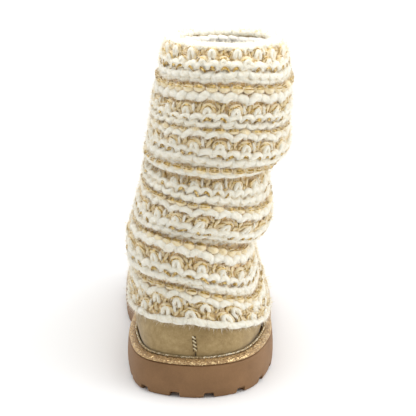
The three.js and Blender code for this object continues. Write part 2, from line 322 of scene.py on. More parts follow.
def upper_sections(share):
    """Control points of the suede foot's section curves, from the sole to the collar"""
    _, bulge, rise, spread, drop = np.moveaxis(section_values(share), -1, 0)
    foot = outline_loop(share, FEATHER_INSET, lambda y: sole_top(y) + GAP)
    _, outward = outline_place(share, np.zeros_like(share))
    angle = collar_angle(share)
    collar = np.stack([COLLAR_CENTRE[0] + COLLAR_HALF[0] * np.sin(angle),
                       COLLAR_CENTRE[1] - COLLAR_HALF[1] * np.cos(angle),
                       around(angle, *COLLAR_HEIGHT)], 1)
    away = unit((foot - collar)[:, :2])
    leave = foot + np.concatenate([outward * bulge[:, None], rise[:, None]], 1)
    reach = collar + np.concatenate([away * spread[:, None], -drop[:, None]], 1)
    return np.stack([foot, leave, reach, collar])


def bezier(controls, t):
    t = np.asarray(t)[..., None]
    a, b, c, d = controls
    return a * (1 - t) ** 3 + 3 * b * t * (1 - t) ** 2 + 3 * c * t * t * (1 - t) + d * t ** 3


def grid_normals(grid):
    """Outward normals of a grid of loops that go up"""
    up = np.gradient(grid, axis=0)
    along = np.roll(grid, -1, 1) - np.roll(grid, 1, 1)
    return unit(np.cross(along, up))


# Outer surface of the knit, by angle from the back and distance from the hem

# Mesh of the surface round and up, steps between two rows of the tables, and steps round its girth
KNIT_ANGLES = 240
KNIT_LEVELS = 300
ROW_STEPS = 24
GIRTH_STEPS = 720

# Creases of the slack knit: a row of SHAFT_ROWS, and on its four sides how deep it is pressed in, how far
# the knit above hangs over it and how far the knit below stands out under it
CREASES = (
    dict(row=8, pressed=(0.3, 0.6, 0.6, 3.2), hung=(0.1, 0.0, 0.3, 2.4), shelf=(0.2, 0.0, 0.0, 0.5)),
    dict(row=3, pressed=(0.5, 1.6, 0.8, 1.6), hung=(0.4, 0.6, 0.5, 1.2), shelf=(0.3, 0.0, 0.0, 0.3)),
    dict(row=0, pressed=(0.3, 0.3, 0.3, 2.0), hung=(0.2, 0.2, 0.2, 1.4), shelf=(0.0, 0.0, 0.0, 0.3)),
)
# Widths of what a crease does, how far above or below it they lie, and how far out an overhang stands
CREASE_WIDTH = 2.6
OVERHANG_AT = 4.0
OVERHANG_WIDTH = 4.2
OVERHANG_OUT = 0.6
SHELF_AT = -4.0
SHELF_WIDTH = 3.0


def knit_surface():
    """Grid of the knit's outer surface, even along each meridian, its normals and the lengths"""
    angles = np.linspace(0, 2 * np.pi, KNIT_ANGLES, endpoint=False)
    sections = upper_sections(bisect(collar_angle, angles))
    hem = bisect(lambda t: bezier(sections, t)[:, 2], around(angles, *HEM_HEIGHT))
    on_foot = np.stack([bezier(sections, hem + (HEM_TOP_SHARE - hem) * up) for up in HEM_ROWS[:, 0]])
    stand = KNIT_CLEARANCE + HEM_FLARE * (1 - HEM_ROWS[:, 0]) + HEM_ROWS[:, 1]
    on_foot = on_foot + grid_normals(on_foot) * stand[:, None, None]
    slack = []
    for row in SHAFT_ROWS:
        back, outer, front, inner = row[4:]
        slack.append(np.stack([(outer + inner) / 2 + (outer - inner) / 2 * np.sin(angles),
                               (front + back) / 2 - (front - back) / 2 * np.cos(angles),
                               around(angles, *row[:4])], 1))
    controls = np.concatenate([on_foot, slack])
    fine = through(controls, np.linspace(0, len(controls) - 1, ROW_STEPS * (len(controls) - 1) + 1), False)
    steps = np.linalg.norm(np.diff(fine, axis=0), axis=-1)
    length = np.concatenate([np.zeros((1, KNIT_ANGLES)), np.cumsum(steps, 0)])
    grid = np.empty((KNIT_LEVELS, KNIT_ANGLES, 3))
    levels = np.linspace(0, 1, KNIT_LEVELS)[:, None] * length[-1]
    for i in range(KNIT_ANGLES):
        for k in range(3):
            grid[:, i, k] = np.interp(levels[:, i], length[:, i], fine[:, i, k])
    normals = grid_normals(grid)
    up = unit(np.gradient(grid, axis=0))
    for crease in CREASES:
        above = levels - length[ROW_STEPS * (len(on_foot) + crease["row"])]
        pressed = around(angles, *crease["pressed"]) * bell(above / CREASE_WIDTH)
        hung = around(angles, *crease["hung"]) * bell((above - OVERHANG_AT) / OVERHANG_WIDTH)
        shelf = around(angles, *crease["shelf"]) * bell((above - SHELF_AT) / SHELF_WIDTH)
        out = OVERHANG_OUT * hung + shelf - pressed
        grid = grid + normals * out[..., None] + up * (shelf - hung)[..., None]
    return grid, grid_normals(grid), length[-1]


KNIT_GRID, KNIT_NORMALS, KNIT_LENGTH = knit_surface()


def knit_at(angle, distance):
    """Points and normals of the knit's outer surface"""
    column = np.mod(angle / (2 * np.pi), 1) * KNIT_ANGLES
    left = np.floor(column).astype(int) % KNIT_ANGLES
    right = (left + 1) % KNIT_ANGLES
    f = column - np.floor(column)
    total = KNIT_LENGTH[left] * (1 - f) + KNIT_LENGTH[right] * f
    row = np.clip(distance / total, 0, 1) * (KNIT_LEVELS - 1)
    low = np.minimum(np.floor(row).astype(int), KNIT_LEVELS - 2)
    g = (row - low)[:, None]
    f = f[:, None]

    def mix(grid):
        lower = grid[low, left] * (1 - f) + grid[low, right] * f
        upper = grid[low + 1, left] * (1 - f) + grid[low + 1, right] * f
        return lower * (1 - g) + upper * g

    return mix(KNIT_GRID), unit(mix(KNIT_NORMALS))


def girth_table():
    """Share of the way round the girth, by angle"""
    angle = np.linspace(0, 2 * np.pi, GIRTH_STEPS + 1)
    speed = np.hypot(KNIT_GIRTH[0] * np.cos(angle), KNIT_GIRTH[1] * np.sin(angle))
    length = np.concatenate([[0], np.cumsum((speed[1:] + speed[:-1]) / 2)])
    return length / length[-1], angle


GIRTH_SHARE, GIRTH_ANGLE = girth_table()


def stitch_angle(stitch):
    """Angle of a place counted in stitches, which are evenly wide round the boot"""
    turns = stitch / STITCHES
    whole = np.floor(turns)
    return np.interp(turns - whole, GIRTH_SHARE, GIRTH_ANGLE) + 2 * np.pi * whole


def band_distance(level, angle):
    """Distance from the hem of a level of the chart, counted in bands of arches"""
    row = through(BAND_ROWS[:, :4], np.full(1, float(level)), False)[0]
    return around(angle, *row)


# Meshes

def put(name, data):
    """Adds an object to the scene"""
    made = bpy.data.objects.new(name, data)
    bpy.context.scene.collection.objects.link(made)
    return made


class Builder:
    """Collects quads of many parts into one mesh"""

    def __init__(self):
        self.points, self.quads, self.uvs, self.count = [], [], [], 0
        self.skin = []

    def add(self, points, quads, uvs=None):
        self.points.append(points)
        self.quads.append(quads + self.count)
        self.uvs.append(np.zeros((len(quads), 4, 2)) if uvs is None else uvs)
        self.count += len(points)

    def piece(self, name, material, slot, replaces=None):
        """Makes the object, in metres in the part's frame, riding on the boot"""
        points = metres(np.concatenate(self.points))
        quads = np.concatenate(self.quads).astype(np.int32)
        uvs = np.concatenate(self.uvs)
        mesh = bpy.data.meshes.new(name)
        mesh.vertices.add(len(points))
        mesh.vertices.foreach_set("co", points.astype(np.float32).ravel())
        mesh.loops.add(quads.size)
        mesh.loops.foreach_set("vertex_index", quads.ravel())
        mesh.polygons.add(len(quads))
        mesh.polygons.foreach_set("loop_start", np.arange(0, quads.size, 4, dtype=np.int32))
        mesh.polygons.foreach_set("use_smooth", np.ones(len(quads), dtype=bool))
        layer = mesh.uv_layers.new(name="UVMap")
        layer.data.foreach_set("uv", uvs.astype(np.float32).ravel())
        mesh.update(calc_edges=True)
        mesh.materials.append(material)
        made = put(name, mesh)
        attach(made, "root")
        if replaces:
            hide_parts(replaces)


def add_loops(builder, loops, joined=True):
    """Adds a body made of closed loops of equal length; joined closes the last loop to the first"""
    count = len(loops[0])
    bands = len(loops) if joined else len(loops) - 1
    j, i = np.meshgrid(np.arange(bands), np.arange(count), indexing="ij")
    low, high = j * count, (j + 1) % len(loops) * count
    after = (i + 1) % count
    quads = np.stack([low + i, low + after, high + after, high + i], -1)
    corners = np.stack([np.stack([i, j], -1), np.stack([i + 1, j], -1),
                        np.stack([i + 1, j + 1], -1), np.stack([i, j + 1], -1)], -2)
    uvs = corners / np.array([count, bands])
    builder.add(np.concatenate(loops), quads.reshape(-1, 4), uvs.reshape(-1, 4, 2))


def tube_frame(paths, normals, closed):
    """Ways out of and up along a surface, square to paths on it"""
    if closed:
        tangent = np.roll(paths, -1, -2) - np.roll(paths, 1, -2)
    else:
        tangent = np.gradient(paths, axis=-2)
    tangent = unit(tangent)
    up = unit(np.cross(normals, tangent))
    return np.cross(tangent, up), up


def add_tubes(builder, paths, normals, radius, sides, closed=False):
    """Adds round strands along paths; their texture runs in millimetres along and turns round"""
    if paths.ndim == 2:
        paths, normals = paths[None], normals[None]
    out, up = tube_frame(paths, normals, closed)
    many, count = paths.shape[:2]
    radius = np.broadcast_to(radius, (many, count))
    turn = np.pi + 2 * np.pi * np.arange(sides) / sides
    ring = np.cos(turn)[:, None] * out[:, :, None] + np.sin(turn)[:, None] * up[:, :, None]
    points = paths[:, :, None] + ring * radius[:, :, None, None]
    steps = np.linalg.norm(np.roll(paths, -1, 1) - paths, axis=-1)
    along = np.concatenate([np.zeros((many, 1)), np.cumsum(steps, 1)], 1)
    spans = count if closed else count - 1
    k, i, j = np.meshgrid(np.arange(many), np.arange(spans), np.arange(sides), indexing="ij")
    here, after = (k * count + i) * sides, (k * count + (i + 1) % count) * sides
    beside = (j + 1) % sides
    quads = np.stack([here + j, after + j, after + beside, here + beside], -1)
    low, high = along[k, i], along[k, i + 1]
    uvs = np.stack([np.stack([low, j / sides], -1), np.stack([high, j / sides], -1),
                    np.stack([high, (j + 1) / sides], -1), np.stack([low, (j + 1) / sides], -1)], -2)
    builder.add(points.reshape(-1, 3), quads.reshape(-1, 4), uvs.reshape(-1, 4, 2))
    facing = np.broadcast_to(normals[:, :, None], ring.shape)
    builder.skin.append(np.stack([points, ring, facing], -2).reshape(-1, 3, 3))


def strand_on(paths, normals, radius, turn, closed=False):
    """Paths of thin strands lying on yarns, at an angle from outwards towards up"""
    out, up = tube_frame(paths, normals, closed)
    turn = np.broadcast_to(turn, paths.shape[:-1])[..., None]
    side = np.cos(turn) * out + np.sin(turn) * up
    return paths + side * np.broadcast_to(radius, paths.shape[:-1])[..., None], side


# Materials

def add(tree, kind, sockets=None, **settings):
    """Adds a shader node with its settings, and sockets given as values or as links"""
    made = tree.nodes.new(kind)
    for key, value in settings.items():
        setattr(made, key, value)
    for key, value in (sockets or {}).items():
        if isinstance(value, bpy.types.NodeSocket):
            tree.links.new(value, made.inputs[key])
        else:
            made.inputs[key].default_value = value
    return made


def wire(tree, shader, **values):
    """Links values to a shader's sockets, named with underscores for spaces"""
    for key, value in values.items():
        tree.links.new(value, shader.inputs[key.replace("_", " ")])


def math_node(tree, operation, *values):
    return add(tree, "ShaderNodeMath", dict(enumerate(values)), operation=operation).outputs[0]


def weighted(tree, *parts):
    """Sum of values, each times its weight"""
    total = 0.0
    for value, weight in reversed(parts):
        total = math_node(tree, "MULTIPLY_ADD", value, weight, total)
    return total


def ramp(tree, value, stops):
    """Colour worked out from a value, by stops of a place and a colour"""
    made = add(tree, "ShaderNodeValToRGB", {"Fac": value})
    elements = made.color_ramp.elements
    while len(elements) < len(stops):
        elements.new(0.5)
    for element, (place, colour) in zip(elements, stops):
        element.position = place
        element.color = (*colour, 1)
    return made.outputs["Color"]


def object_place(tree):
    return add(tree, "ShaderNodeTexCoord").outputs["Object"]


def noise(tree, vector, scale, detail=3.0, roughness=0.55):
    sockets = {"Vector": vector, "Scale": scale, "Detail": detail, "Roughness": roughness}
    return add(tree, "ShaderNodeTexNoise", sockets).outputs["Fac"]


def bump(tree, height, strength, distance):
    sockets = {"Height": height, "Strength": strength, "Distance": distance}
    return add(tree, "ShaderNodeBump", sockets).outputs["Normal"]


def new_material(name, **constants):
    """Material with a principled shader and its constant sockets; gives its tree and shader too"""
    made = bpy.data.materials.new(name)
    made.use_nodes = True
    shader = made.node_tree.nodes["Principled BSDF"]
    for key, value in constants.items():
        shader.inputs[key.replace("_", " ")].default_value = value
    return made, made.node_tree, shader


def srgb(red, green, blue):
    """Linear colour of an sRGB one in 0 to 255"""
    share = np.array([red, green, blue]) / 255
    linear = np.where(share <= 0.04045, share / 12.92, ((share + 0.055) / 1.055) ** 2.4)
    return tuple(float(x) for x in linear)


# Yarn: millimetres in a turn of its plies, their number, and reach in metres of the painted shade in its
# crevices
PLY_TURN_MM = 3.4
PLIES = 3
CREVICE_SHADE_REACH = 0.004


def wool(name, light, shade, crevice_shade):
    """Plied wool: strands twist round the yarn and fibres roughen it; painted shade darkens the grooves
    between plies and tints its crevices
    """
    made, tree, shader = new_material(name, Roughness=0.95, Sheen_Weight=0.7, Sheen_Roughness=0.6,
                                      Subsurface_Weight=0.2, Subsurface_Scale=0.002,
                                      Subsurface_Radius=(1.0, 1.0, 1.0))
    uv = add(tree, "ShaderNodeSeparateXYZ", {"Vector": add(tree, "ShaderNodeTexCoord").outputs["UV"]})
    along, turn = uv.outputs["X"], uv.outputs["Y"]
    twist = weighted(tree, (along, 2 * np.pi / PLY_TURN_MM), (turn, 2 * np.pi * PLIES))
    ply = math_node(tree, "MULTIPLY_ADD", math_node(tree, "SINE", twist), 0.5, 0.5)
    grain = add(tree, "ShaderNodeCombineXYZ", {"X": math_node(tree, "MULTIPLY", twist, 0.9), "Y": along})
    strands = noise(tree, grain.outputs["Vector"], scale=1.6, detail=4)
    patch = noise(tree, object_place(tree), scale=160)
    # Tone: painted shade makes the grooves between the plies darker; fibre and patch noise vary it at random
    tone = weighted(tree, (ply, 0.35), (strands, 0.4), (patch, 0.4))
    yarn = ramp(tree, tone, [(0.25, shade), (0.62, light)])
    # Painted shade: an occlusion mask mixes in the crevice colour where the yarn is hemmed in by other yarn
    open_air = add(tree, "ShaderNodeAmbientOcclusion", {"Distance": CREVICE_SHADE_REACH}, samples=6).outputs["AO"]
    depth = ramp(tree, open_air, [(0.1, (0, 0, 0)), (0.5, (1, 1, 1))])
    mixed = add(tree, "ShaderNodeMix", {"Factor": depth, "A": (*crevice_shade, 1), "B": yarn}, data_type="RGBA")
    height = weighted(tree, (ply, 0.6), (strands, 0.8))
    wire(tree, shader, Base_Color=mixed.outputs["Result"],
         Normal=bump(tree, height, strength=0.55, distance=0.0005))
    return made


def gold_thread():
    """Flat metal thread: a bump lets it glint where its twist turns it to the light, and its colour has
    painted glints and painted shade in random spots
    """
    made, tree, shader = new_material("gold_thread", Metallic=0.9, Roughness=0.28)
    place = object_place(tree)
    painted_glint = noise(tree, place, scale=900, detail=2)
    # Painted glints and shade: noise runs the colour from dark to bright gold
    colour = ramp(tree, painted_glint, [(0.36, srgb(144, 113, 54)), (0.5, srgb(184, 151, 80)),
                                (0.64, srgb(238, 210, 140))])
    twist = noise(tree, place, scale=2200, detail=2)
    wire(tree, shader, Base_Color=colour, Normal=bump(tree, twist, strength=0.8, distance=0.0004))
    return made


def suede():
    """Brushed nap: fine speckle, soft patches where the nap lies another way, and a dull sheen"""
    made, tree, shader = new_material("suede", Roughness=0.95, Sheen_Weight=0.3, Sheen_Roughness=0.45)
    place = object_place(tree)
    nap = noise(tree, place, scale=2600, detail=4, roughness=0.7)
    brush = noise(tree, place, scale=420, detail=4)
    patch = noise(tree, place, scale=55)
    tone = weighted(tree, (nap, 0.42), (brush, 0.33), (patch, 0.3))
    colour = ramp(tree, tone, [(0.36, srgb(129, 106, 67)), (0.52, srgb(161, 137, 93)),
                               (0.68, srgb(186, 163, 118))])
    height = math_node(tree, "ADD", nap, brush)
    wire(tree, shader, Base_Color=colour, Normal=bump(tree, height, strength=0.5, distance=0.0003))
    return made


def rubber():
    """Matt moulded rubber, slightly mottled"""
    made, tree, shader = new_material("rubber", Roughness=0.62, Specular_IOR_Level=0.3)
    place = object_place(tree)
    fine = noise(tree, place, scale=1500)
    cloud = noise(tree, place, scale=60, detail=4)
    tone = weighted(tree, (fine, 0.25), (cloud, 0.75))
    colour = ramp(tree, tone, [(0.35, srgb(123, 91, 59)), (0.65, srgb(142, 107, 72))])
    wire(tree, shader, Base_Color=colour, Normal=bump(tree, fine, strength=0.25, distance=0.0002))
    return made


# Glitter: flakes in a metre, the share of them that are dull, and how far they tilt
FLAKE_SCALE = 2500.0
DULL_SHARE = 0.7
FLAKE_TILT = (0.7, 0.7, 0.7)


def glitter(name, dull, mid, bright):
    """Flakes of glitter, each a small mirror of its own tilt and shine"""
    made, tree, shader = new_material(name)
    flakes = add(tree, "ShaderNodeTexVoronoi", {"Vector": object_place(tree), "Scale": FLAKE_SCALE})
    shade = flakes.outputs["Color"]
    kind = add(tree, "ShaderNodeSeparateColor", {"Color": shade}).outputs["Red"]
    shine = math_node(tree, "GREATER_THAN", kind, DULL_SHARE)
    tilt = add(tree, "ShaderNodeVectorMath", {0: shade, 1: (0.5, 0.5, 0.5)}, operation="SUBTRACT").outputs[0]
    facing = add(tree, "ShaderNodeNewGeometry").outputs["Normal"]
    leaning = add(tree, "ShaderNodeVectorMath", {0: tilt, 1: FLAKE_TILT, 2: facing},
                  operation="MULTIPLY_ADD").outputs[0]
    wire(tree, shader, Base_Color=ramp(tree, kind, [(0.15, dull), (0.55, mid), (0.9, bright)]),
         Metallic=math_node(tree, "MULTIPLY", shine, 0.9),
         Roughness=math_node(tree, "MULTIPLY_ADD", shine, -0.35, 0.6),
         Normal=add(tree, "ShaderNodeVectorMath", {0: leaning}, operation="NORMALIZE").outputs[0])
    return made


def fleece():
    made, tree, shader = new_material("fleece", Roughness=1.0, Sheen_Weight=0.4)
    curl = noise(tree, object_place(tree), scale=700, detail=4, roughness=0.65)
    colour = ramp(tree, curl, [(0.35, srgb(196, 182, 152)), (0.65, srgb(236, 226, 204))])
    wire(tree, shader, Base_Color=colour, Normal=bump(tree, curl, strength=0.8, distance=0.001))
    return made


def plain_thread(name, dark, light):
    made, tree, shader = new_material(name, Roughness=0.7)
    twist = noise(tree, object_place(tree), scale=900, detail=2)
    wire(tree, shader, Base_Color=ramp(tree, twist, [(0.4, dark), (0.6, light)]))
    return made


def fibre(name, shade, light):
    """Loose fibres that let light through"""
    made, tree, shader = new_material(name, Roughness=0.9)
    patch = noise(tree, object_place(tree), scale=120, detail=2)
    colour = ramp(tree, patch, [(0.35, shade), (0.65, light)])
    wire(tree, shader, Base_Color=colour)
    through_light = add(tree, "ShaderNodeBsdfTranslucent", {"Color": colour}).outputs[0]
    both = add(tree, "ShaderNodeMixShader", {0: 0.5, 1: shader.outputs[0], 2: through_light})
    wire(tree, tree.nodes["Material Output"], Surface=both.outputs[0])
    return made


# The last colour of each wool is the painted shade of its crevices
CREAM = wool("cream_wool", srgb(235, 232, 217), srgb(226, 218, 196), srgb(238, 214, 162))
MARLED = wool("marled_wool", srgb(232, 215, 173), srgb(212, 183, 126), srgb(222, 183, 108))
OVAL = wool("oval_wool", srgb(231, 214, 172), srgb(216, 191, 140), srgb(226, 190, 122))
# Ground of the knit: tan, partly for the gold in the recesses and partly painted shade there
BACKING_GOLD_AND_SHADE = wool("backing_wool_gold_and_painted_shade", srgb(224, 195, 138), srgb(208, 173, 110), srgb(216, 178, 110))
# Inner rows of the knit: a whiter copy of the cream wool, painted light for the shaded inside of the opening
LINING_PAINTED_LIGHT = wool("lining_wool_painted_light", srgb(255, 252, 244), srgb(246, 240, 224), srgb(240, 228, 200))
GOLD = gold_thread()
SUEDE = suede()
RUBBER = rubber()
RAND = glitter("rand_glitter", srgb(148, 114, 74), srgb(178, 142, 96), srgb(226, 200, 152))
CORD = glitter("cord_glitter", srgb(150, 124, 84), srgb(214, 190, 142), srgb(255, 250, 230))
FLEECE = fleece()
THREAD = plain_thread("seam_thread", srgb(196, 180, 140), srgb(236, 226, 196))
# Dark thread for the painted shade of the seam's stitch holes, and for the dark line below them
HOLE_SHADE_AND_LINE = plain_thread("seam_hole_shade_and_line", srgb(40, 28, 14), srgb(72, 54, 30))
CREAM_FIBRE = fibre("cream_fibre", srgb(246, 241, 227), srgb(253, 249, 239))
MARLED_FIBRE = fibre("marled_fibre", srgb(232, 208, 156), srgb(248, 237, 208))


# Sole, rand, piping and footbed

# Wall of the sole, from its top down to the tread and in under it: inset, share of the height, and
# share of a notch's depth that it gives way
NOTCH_SLOPE = 0.3
SOLE_WALL = (
    (6.0, 1.0, 0), (0.75, 1.0, 0), (0.3, 0.985, 0), (0.05, 0.955, 0), (-0.05, 0.9, 0), (-0.35, 0.6, 0),
    (-WALL_BULGE, 0.4, 0), (-0.3, 0.22, 0), (-0.1, 0.1, 0.9), (0.05, 0.045, 1), (0.3, 0.012, 1),
    (0.75, 0, 1), (4, 0, 1), (8, 0, 1), (NOTCH_REACH - NOTCH_SLOPE, 0, 1), (NOTCH_REACH, 0, 0),
)
# Profiles of rand and footbed: inset, share of the height
RAND_PROFILE = ((0.55, 0), (0.32, 0.1), (0.26, 0.35), (0.4, 0.55), (0.85, 0.73), (1.6, 0.88), (2.8, 0.97),
                (4.2, 1), (4.2, 0))
FOOTBED_PROFILE = ((7.6, 0), (7.6, 0.6), (7.8, 0.85), (8.3, 0.97), (9.2, 1), (14, 1.04), (20, 1.06))


def add_lid(builder, loop, upward):
    """Closes a loop by strips across it"""
    count = len(loop)
    i = np.arange(1, count // 2 - 1)
    strips = np.stack([i, i + 1, count - 1 - i, count - i], -1)
    builder.add(loop, strips if upward else strips[:, ::-1])


def profile_loops(profile, height, steps):
    """Loops round the foot on top of the sole"""
    share = np.arange(steps) / steps
    return [outline_loop(share, inset, lambda y, rise=rise: sole_top(y) + GAP + rise * height)
            for inset, rise in profile]


def outsole():
    """Rubber sole with rounded edges and a notch between each two lugs"""
    edge, softness = NOTCH_WIDTH / 2, 0.25
    near_edge = edge + np.array([-0.3, -0.1, 0.1, 0.3, 0.8])
    lug_face = np.linspace(edge + 1.8, PERIMETER / LUG_COUNT / 2, 4)
    half = np.concatenate([[0, edge / 2], near_edge, lug_face])
    offsets = np.concatenate([-half[:0:-1], half[:-1]])
    share = np.concatenate([(k + LUG_PHASE) / LUG_COUNT + offsets / PERIMETER for k in range(LUG_COUNT)])
    cut = np.tile(1 - smooth(np.abs(offsets), edge - softness, edge + softness), LUG_COUNT)
    order = np.argsort(np.mod(share, 1))
    share, cut = np.mod(share, 1)[order], cut[order]
    loops = []
    for inset, level, notched in SOLE_WALL:
        flat, _ = outline_place(share, np.full_like(share, inset))
        low, top = tread_height(flat[:, 1]), sole_top(flat[:, 1])
        height = np.maximum(low + (top - low) * level, low + NOTCH_DEPTH * cut * notched)
        loops.append(np.concatenate([flat, height[:, None]], 1))
    builder = Builder()
    add_loops(builder, loops, joined=False)
    add_lid(builder, loops[-1], upward=False)
    add_lid(builder, loops[0], upward=True)
    builder.piece("outsole_rubber", RUBBER, "outsole_rubber", "outsole")


def welt():
    """Glitter rand on the sole's edge"""
    builder = Builder()
    add_loops(builder, profile_loops(RAND_PROFILE, WELT_HEIGHT, steps=400))
    builder.piece("rand", RAND, "rand_glitter", "welt")


def piping():
    """Cord of two twisted strands where the suede meets the rand, pressed in and down behind the heel"""
    turns, steps, sides = 210, 5, 6
    depth, reach = 0.6, 0.07
    strand = 0.56 * PIPING_RADIUS
    share = np.arange(turns * steps) / (turns * steps)
    lift = GAP * 2 + WELT_HEIGHT + PIPING_RADIUS
    pressed = depth * bell(nearest(share, 1) / reach)
    path = outline_loop(share, PIPING_INSET + pressed, lambda y: sole_top(y) + lift)
    path[:, 2] -= pressed
    _, outward = outline_place(share, np.zeros_like(share))
    normal = np.concatenate([outward, np.zeros((len(share), 1))], 1)
    builder = Builder()
    for start in (0, np.pi):
        turn = start + 2 * np.pi * turns * share
        twisted, side = strand_on(path, normal, PIPING_RADIUS - strand, turn, closed=True)
        add_tubes(builder, twisted, side, strand, sides, closed=True)
    builder.piece("rand_cord", CORD, "piping_cord", "welt_piping")


def insole():
    """Fleece footbed"""
    loops = profile_loops(FOOTBED_PROFILE, INSOLE_THICKNESS, steps=240)
    builder = Builder()
    add_loops(builder, loops, joined=False)
    add_lid(builder, loops[-1], upward=True)
    add_lid(builder, loops[0], upward=False)
    builder.piece("footbed", FLEECE, "insole_fleece", "insole")


# Suede foot

# Seam down the back: its share of the outline, depth and half-width of its groove, and the shares of
# the way up where its stitches start, where they end and over which the groove fades out
SEAM_SHARE = -0.0035
SEAM_GROOVE = 0.3
SEAM_HALF_WIDTH = 0.45
SEAM_FOOT = 0.125
SEAM_TOP = 0.35
SEAM_FADE = 0.06
# The dark strands beside each stitch are painted shade of its holes
# Threads at each stitch of the seam: start and end, each in millimetres off the seam and in stitches
# down, and radius. The line below the stitches has shares of the way up instead.
SEAM_STITCHES = 4
STITCH_THREADS = ((-0.75, 0, 0.7, 0.75, 0.3),)
STITCH_HOLE_SHADE = ((0.75, 0, 0.95, 0.35, 0.26), (-0.9, 0.6, -0.7, 0.95, 0.22))
SEAM_LINE = (0, 0.12, 0.05, 0.04)
SEAM_LINE_RADIUS = 0.2


def upper_surface(share, levels):
    """Loops of the suede's outer surface, with the groove of the seam down the back"""
    sections = upper_sections(share)
    grid = np.stack([bezier(sections, np.full_like(share, t)) for t in levels])
    off = nearest(share - SEAM_SHARE, 1) * PERIMETER
    groove = SEAM_GROOVE * bell(off / SEAM_HALF_WIDTH)
    low = 1 - smooth(levels, SEAM_TOP, SEAM_TOP + SEAM_FADE)
    return grid - grid_normals(grid) * (low[:, None] * groove)[..., None]


def upper():
    """Hollow suede foot from the sole to the collar, with a finer mesh near the seam"""
    near_share, near_steps, far_steps, levels = 0.012, 37, 202, 41
    near = np.linspace(-near_share, near_share, near_steps) + SEAM_SHARE
    share = np.concatenate([near, np.linspace(near[-1], near[0] + 1, far_steps)[1:-1]])
    outer = upper_surface(share, np.linspace(0, 1, levels))
    inner = outer - grid_normals(outer) * SUEDE_WALL
    builder = Builder()
    add_loops(builder, [*outer, *inner[::-1]])
    builder.piece("suede_foot", SUEDE, "upper_suede", "upper")


def seam_strands(builder, strands, radius):
    """Short threads on the suede, between places in millimetres off the seam and shares of the way up"""
    f = np.linspace(0, 1, 7)
    rise, tip, blunt, sides = 0.1, 0.1, 0.4, 6
    outward = np.tile(np.array([0, -1.0, 0.1]), (len(f), 1))
    taper = np.sin(np.pi * (tip + (1 - 2 * tip) * f)) ** blunt
    for off_a, up_a, off_b, up_b in strands:
        share = SEAM_SHARE + (off_a + (off_b - off_a) * f) / PERIMETER
        path = bezier(upper_sections(share), up_a + (up_b - up_a) * f)
        path = path + outward * (radius / 2 + rise * np.sin(np.pi * f))[:, None]
        add_tubes(builder, path, outward, radius * taper, sides)


def back_stitches():
    """Slanted stitches over the back seam, dark strands beside them as painted shade of their holes, and a
    dark line below them
    """
    light, dark = Builder(), Builder()
    step = (SEAM_TOP - SEAM_FOOT) / SEAM_STITCHES
    tops = SEAM_TOP - step * np.arange(SEAM_STITCHES)
    for builder, threads in ((light, STITCH_THREADS), (dark, STITCH_HOLE_SHADE)):
        for off_a, down_a, off_b, down_b, radius in threads:
            strands = [(off_a, top - down_a * step, off_b, top - down_b * step) for top in tops]
            seam_strands(builder, strands, radius)
    seam_strands(dark, [SEAM_LINE], SEAM_LINE_RADIUS)
    light.piece("back_stitches", THREAD, "upper_suede")
    dark.piece("back_hole_shade_and_line", HOLE_SHADE_AND_LINE, "upper_suede")


# Knit shaft

# Width of a stitch, points of a course in it, how much thinner and how narrow the dips between the
# stitches are, and how far their fronts are drawn out
STITCH_MM = 5.5
STITCH_STEPS = 10
STITCH_PINCH = 0.3
DIP_POWER = 2.5
FRONT_SPREAD = 0.125
YARN_SIDES = 8
# Slow waves of a course round the boot, as number and height, and the range of their starts
DRIFT_WAVES = ((3, 0.3), (7, 0.25))
DRIFT_STARTS = (0, 6)
# Strands of gold: radius, also on arches, and how far they dive into the yarn there
GOLD_RADIUS = 0.24
ARCH_GOLD_RADIUS = 0.27
GOLD_DIVE = 0.13
GOLD_SIDES = 3


def scatter(count, spread):
    """Small differences between stitches"""
    return rng.uniform(-spread, spread, count)


def vary(count, spread):
    """Small differences between yarns, set against the points along them"""
    return scatter(count, spread)[:, None]


def blended(values, stitch):
    """Values of the stitches, blended from one to the next"""
    count = len(values)
    place = np.mod(stitch, count)
    low = np.floor(place).astype(int) % count
    f = smooth(place - np.floor(place), 0, 1)
    return values[low] * (1 - f) + values[(low + 1) % count] * f


def dome_phase(band, tier=None):
    """Where the domes of a tier lie, as a share of two stitches; the highest tier if none is given"""
    if tier is None:
        tier = len(BAND_TIERS.get(band, (0,))) - 1
    return 0.5 * ((band + tier) % 2)


def chart_stretch(band, angle):
    """How much taller than usual the chart is between a band of arches and the next"""
    return (band_distance(band + 1, angle) - band_distance(band, angle)) / CHART_REPEAT


def surface_stretch(angle, distance):
    """How much the creases stretch the knit along its height"""
    below, _ = knit_at(angle, distance - 1)
    above, _ = knit_at(angle, distance + 1)
    return np.linalg.norm(above - below, axis=1) / 2


